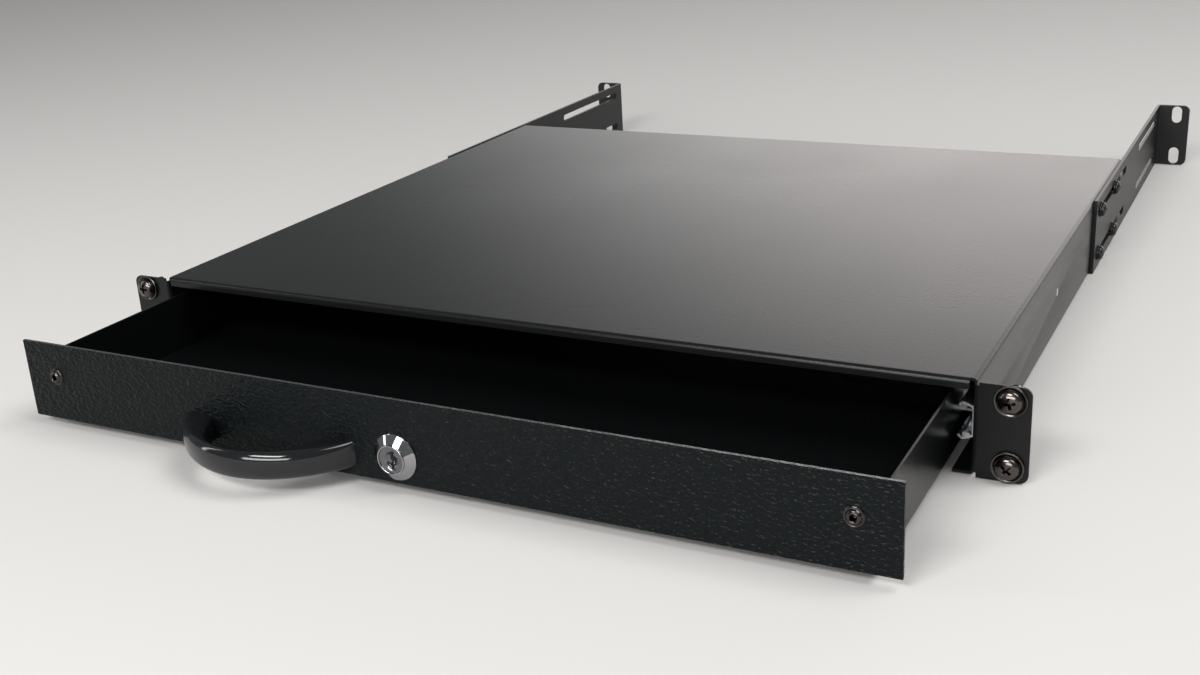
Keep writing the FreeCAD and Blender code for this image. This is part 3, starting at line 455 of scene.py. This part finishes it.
forward = (0, -1, 0)
ear_front = -1.2 * mm
rack_hole_x, rack_hole_z = 232.55 * mm, 14.75 * mm
cup_radius, cup_bore, cup_seat = 7.0 * mm, 3.2 * mm, 0.8 * mm
places = [Vector((x * rack_hole_x, ear_front, z * rack_hole_z)) for x in (1, -1) for z in (1, -1)]
ways = [forward] * len(places)
cup = welded(turned([
    (0, cup_bore), (0, cup_radius - 0.9 * mm, 0.2 * mm), (0.9 * mm, cup_radius, 0.25 * mm),
    (1.5 * mm, cup_radius - 0.2 * mm, 0.2 * mm), (1.4 * mm, cup_radius - 0.8 * mm, 0.2 * mm),
    (cup_seat, 5.2 * mm, 0.3 * mm), (0.7 * mm, cup_bore), (0, cup_bore)], around=64))
cup_washers = set_all("rack_cup_washers", cup, places, ways)
cup_black = metal("cup_black", (0.09, 0.088, 0.086), roughness=0.20)
seat(cup_washers, cup_black, "chassis", "black_zinc_screw")
seats = [place + Vector((0, -cup_seat, 0)) for place in places]
rack_screw = pan_head(4.95 * mm, head_height=3.4 * mm, shank_radius=2.95 * mm, length=12.0 * mm,
                      pitch=1.0 * mm, turn=12)
rack_screws = set_all("rack_pan_screws", rack_screw, seats, ways)
nickel = metal("dark_nickel", (0.10, 0.088, 0.082), roughness=0.20)
seat(rack_screws, nickel, "chassis", "black_zinc_screw")


# Ball slides: channels and runners rolled from bright zinc-plated strip, with perforated cages and
# polished steel balls between them. Flush rivets hold the channels to the housing and the runners
# to the tray. The lock's hidden pieces and the nuts have the same plating.

zinc = metal("zinc", (0.66, 0.68, 0.70), roughness=0.26, scratch=0.10, along=(1, 0.04, 1))
steel = metal("steel", (0.70, 0.69, 0.67), roughness=0.12)


def dress(node, finish):
    """Give a CAD node its finish."""
    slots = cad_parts[node].data.materials
    slots.clear()
    slots.append(finish.material)


for node in ("slide_channel_left", "slide_channel_right", "slide_runner_left", "slide_runner_right",
             "ball_cage_left", "ball_cage_right", "slide_rivets", "runner_rivets", "lock_nut",
             "lock_cam", "cam_washer", "bracket_nuts"):
    dress(node, zinc)
for node in ("balls_left", "balls_right"):
    dress(node, steel)


# Tray: one steel sheet folded up on all four sides, in the same powder coat as the housing but
# blacker. It hangs on the runners of the two slides.

tray_coat = powder_coat("tray_coat", (0.003, 0.0034, 0.0036), roughness=0.27, grain=1.4 * mm,
                        depth=0.05 * mm, shine=0.22)
eased_sheet("tray", tray_coat, "drawer", "black_powder_coat", edge_radius=0.2 * mm)


# Front panel: steel sheet in a black hammered coat, coarse enough to see from across a room. Along
# the edge that faces up the coat has built up into a glossy line.

def hammered_coat(name, colour, roughness, blob, depth):
    """A coat that flows into small smooth hills with narrow valleys between them."""
    finish = Finish(name)
    place = finish.node("TexCoord", output="Object")
    drawn = finish.node("VectorMath", {"operation": "MULTIPLY"}, {0: place, 1: (0.75, 1, 1.1)})
    hills = finish.node("TexVoronoi", {"feature": "SMOOTH_F1"},
                        {"Vector": drawn, "Scale": 0.9 / blob, "Smoothness": 1.0})
    skin = finish.node("TexNoise", sockets={"Vector": drawn, "Scale": 1 / blob, "Detail": 1.2})
    bump = finish.node("Bump", sockets={"Height": skin - hills * 0.35, "Distance": depth})
    normal = finish.node("NewGeometry", output=1)
    facing_up = finish.node("SeparateXYZ", sockets={0: normal}, output=2)
    built_up = finish.node("MapRange",
                           sockets={"Value": facing_up, "From Min": 0.2, "From Max": 0.5})
    return finish.paint(Base_Color=colour, Roughness=roughness, Normal=bump,
                        Specular_IOR_Level=0.11, Coat_Weight=built_up, Coat_Roughness=0.2,
                        Coat_IOR=2.0)


panel_coat = hammered_coat("panel_coat", (0.0032, 0.0046, 0.005), roughness=0.30, blob=1.5 * mm,
                           depth=0.85 * mm)
eased_sheet("front_panel", panel_coat, "drawer", "black_hammered_coat", edge_radius=0.45 * mm)


# Panel rivets: steel blind rivets that hold the front panel to the tray's front wall. Each has a
# flat head, a raised ring and the hole of its broken stem.

panel_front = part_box("front_panel")[0].y
panel_and_wall = 2.5 * mm
rivet_low, rivet_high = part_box("panel_rivets")
head_radius, shank_radius, stem_radius = 4.2 * mm, 2.0 * mm, 1.3 * mm
rivet_x = rivet_high.x - head_radius
rivet_z = (rivet_low.z + rivet_high.z) / 2
rivet = turned([
    (-1.5 * mm, 0), (-1.5 * mm, stem_radius, 0.1 * mm), (1.5 * mm, 1.45 * mm, 0.1 * mm),
    (1.8 * mm, 1.95 * mm, 0.3 * mm), (1.3 * mm, 2.8 * mm, 0.9 * mm),
    (0.45 * mm, 3.3 * mm, 0.2 * mm), (0.35 * mm, 3.75 * mm, 0.05 * mm),
    (0.5 * mm, 3.95 * mm, 0.1 * mm), (0.3 * mm, head_radius, 0.1 * mm), (0, head_radius),
    (0, shank_radius), (-panel_and_wall, shank_radius), (-panel_and_wall, 2.85 * mm, 0.2 * mm),
    (-4.6 * mm, 2.2 * mm, 0.8 * mm), (-5.1 * mm, 0)], around=64)
places = [Vector((side * rivet_x, panel_front, rivet_z)) for side in (1, -1)]
rivets = set_all("panel_blind_rivets", rivet, places, [forward] * 2)
rivet_steel = metal("rivet_steel", (0.062, 0.056, 0.055), roughness=0.20)
seat(rivets, rivet_steel, "drawer", "bright_steel", "panel_rivets")


# Handle: a moulded arch in gloss black plastic, thick at its feet. The section is square where it
# stands on the panel and rounds out towards the grip, more so on the outer side than inside.

handle_low, handle_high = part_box("pull_handle")
handle_middle = (handle_low + handle_high) / 2
outer_half, outer_reach = (handle_high.x - handle_low.x) / 2, handle_high.y - handle_low.y
inner_half, inner_reach = 31.0 * mm, 24.0 * mm
handle_half_height = (handle_high.z - handle_low.z) / 2
rings_along, ring_points = 72, 40
foot_out, foot_up = 0.35, 0.30
outer_rounding, inner_rounding = (0.65, 0.62), (0.60, 0.50)


def arch(half, reach, share):
    """A place on an arc that stands on the panel; share runs from one foot to the other."""
    radius = (half * half + reach * reach) / (2 * reach)
    sweep = 2 * math.asin(half / radius)
    angle = (share - 0.5) * sweep
    return Vector((radius * math.sin(angle), -(radius * math.cos(angle) - radius + reach)))


work = bmesh.new()
rings = []
for step in range(rings_along + 1):
    share = step / rings_along
    outside, inside = arch(outer_half, outer_reach, share), arch(inner_half, inner_reach, share)
    middle, half_thick = (outside + inside) / 2, (outside - inside) / 2
    fullness = math.sin(math.pi * share) ** 0.8
    ring = []
    for point in range(ring_points):
        angle = 2 * math.pi * point / ring_points
        more_out, more_up = outer_rounding if math.cos(angle) > 0 else inner_rounding
        power_out, power_up = foot_out + more_out * fullness, foot_up + more_up * fullness
        out = math.copysign(abs(math.cos(angle)) ** power_out, math.cos(angle))
        up = math.copysign(abs(math.sin(angle)) ** power_up, math.sin(angle))
        spot = middle + half_thick * out
        ring.append(work.verts.new((handle_middle.x + spot.x, handle_high.y + min(spot.y, 0),
                                    handle_middle.z + handle_half_height * up)))
    rings.append(ring)
handle = new_piece("moulded_handle", skinned(work, rings), sharp_from=50)
handle_plastic = Finish("handle_plastic")
place = handle_plastic.node("TexCoord", output="Object")
haze = handle_plastic.node("TexNoise", sockets={"Vector": place, "Scale": 45.0, "Detail": 4.0})
handle_plastic.paint(Base_Color=(0.006, 0.0065, 0.0078), Roughness=0.10 + (haze - 0.5) * 0.06)
seat(handle, handle_plastic, "drawer", "gloss_black_plastic", "pull_handle")

screw_low, screw_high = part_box("handle_screws")
tray_wall_back = panel_front + panel_and_wall
places = [Vector((x, tray_wall_back, handle_middle.z))
          for x in (screw_low.x + small_head_radius, screw_high.x - small_head_radius)]
handle_screw = small_screw(tray_wall_back - screw_low.y, turn=8)
handle_screws = set_all("handle_pan_screws", handle_screw, places, [(0, 1, 0)] * 2)
seat(handle_screws, zinc, "drawer", "zinc_plated_steel", "handle_screws")


# Cam lock: a die-cast bezel and plug in bright chrome, its barrel threaded for the nut behind the
# tray's front wall. The key goes into an upright slot at the bottom of an eye-shaped recess. The
# plug's chrome is a darker copy of the bezel's: painted shade on the plug's face.

lock_x, lock_z = -2.0 * mm, -4.8 * mm
face, flange_radius, mouth_radius, bore_radius = 4.0 * mm, 10.75 * mm, 6.06 * mm, 5.45 * mm
barrel_radius, thread_root = 8.0 * mm, 7.6 * mm
mouth_edge, plug_seat = face - 0.9 * mm, 1.9 * mm
chrome = metal("chrome", (0.36, 0.36, 0.37), roughness=0.05)
barrel_thread = [(-along * mm, barrel_radius if along % 2 else thread_root)
                 for along in range(3, 10)]
bezel = welded(turned([
    (mouth_edge, mouth_radius), (face, 6.12 * mm, 0.28 * mm), (face, 6.78 * mm, 0.3 * mm),
    (face - 0.6 * mm, 6.9 * mm, 0.15 * mm), (0.75 * mm, 10.55 * mm, 0.3 * mm),
    (0.55 * mm, flange_radius, 0.1 * mm), (0, flange_radius), (0, barrel_radius), *barrel_thread,
    (-10.5 * mm, bore_radius), (plug_seat, bore_radius), (plug_seat, mouth_radius),
    (mouth_edge, mouth_radius)], around=96))
lock_place = [Vector((lock_x, panel_front, lock_z))]
bezel_piece = set_all("lock_bezel", bezel, lock_place, [forward])
seat(bezel_piece, chrome, "drawer", "chrome", "lock_housing")
dress("cam_screw", chrome)


def upright_cutter(outline, levels):
    """A closed cutter along Z from an outline, scaled at each (height, scale) of levels."""
    work = bmesh.new()
    rings = [[work.verts.new((x * scale, y * scale, height)) for x, y in outline]
             for height, scale in levels]
    return skinned(work, rings)


eye_half_height, eye_half_width, arc_steps = 4.3 * mm, 2.5 * mm, 12
key_half_height, key_half_width = 2.9 * mm, 0.85 * mm
eye_radius = (eye_half_height ** 2 + eye_half_width ** 2) / (2 * eye_half_width)
eye_sweep = math.asin(eye_half_height / eye_radius)
eye = []
for side in (1, -1):
    for step in range(arc_steps):
        turn = eye_sweep * (2 * step / arc_steps - 1)
        eye.append((side * (eye_radius * math.cos(turn) - eye_radius + eye_half_width),
                    side * eye_radius * math.sin(turn)))
keyway = [(key_half_width, -key_half_height), (key_half_width, key_half_height),
          (-key_half_width, key_half_height), (-key_half_width, -key_half_height)]
plug_face = panel_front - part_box("lock_plug")[0].y
eye_levels = [(plug_face + 0.3 * mm, 1.06), (plug_face, 1.0), (plug_face - 1.3 * mm, 0.72)]
keyway_levels = [(plug_face - 0.5 * mm, 1.0), (plug_face - 7 * mm, 1.0)]
plug = bmesh.new()
plug.from_mesh(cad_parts["lock_plug"].data)
welded(plug)
facing_lock = Vector(forward).to_track_quat("Z", "Y").to_matrix().to_4x4()
to_lock = Matrix.Translation(lock_place[0]) @ facing_lock
bmesh.ops.transform(plug, matrix=to_lock.inverted(), verts=plug.verts)
for outline, levels in ((eye, eye_levels), (keyway, keyway_levels)):
    plug = cut_out(plug, upright_cutter(outline, levels))
plug_piece = set_all("keyed_plug", plug, lock_place, [forward])
# Painted shade: the plug gets a darker copy of the chrome, standing in for the dark reflection on
# its face.
plug_chrome_painted_shade = metal("plug_chrome_painted_shade", (0.17, 0.17, 0.18), roughness=0.09)
seat(plug_piece, plug_chrome_painted_shade, "lock", "chrome", "lock_plug")
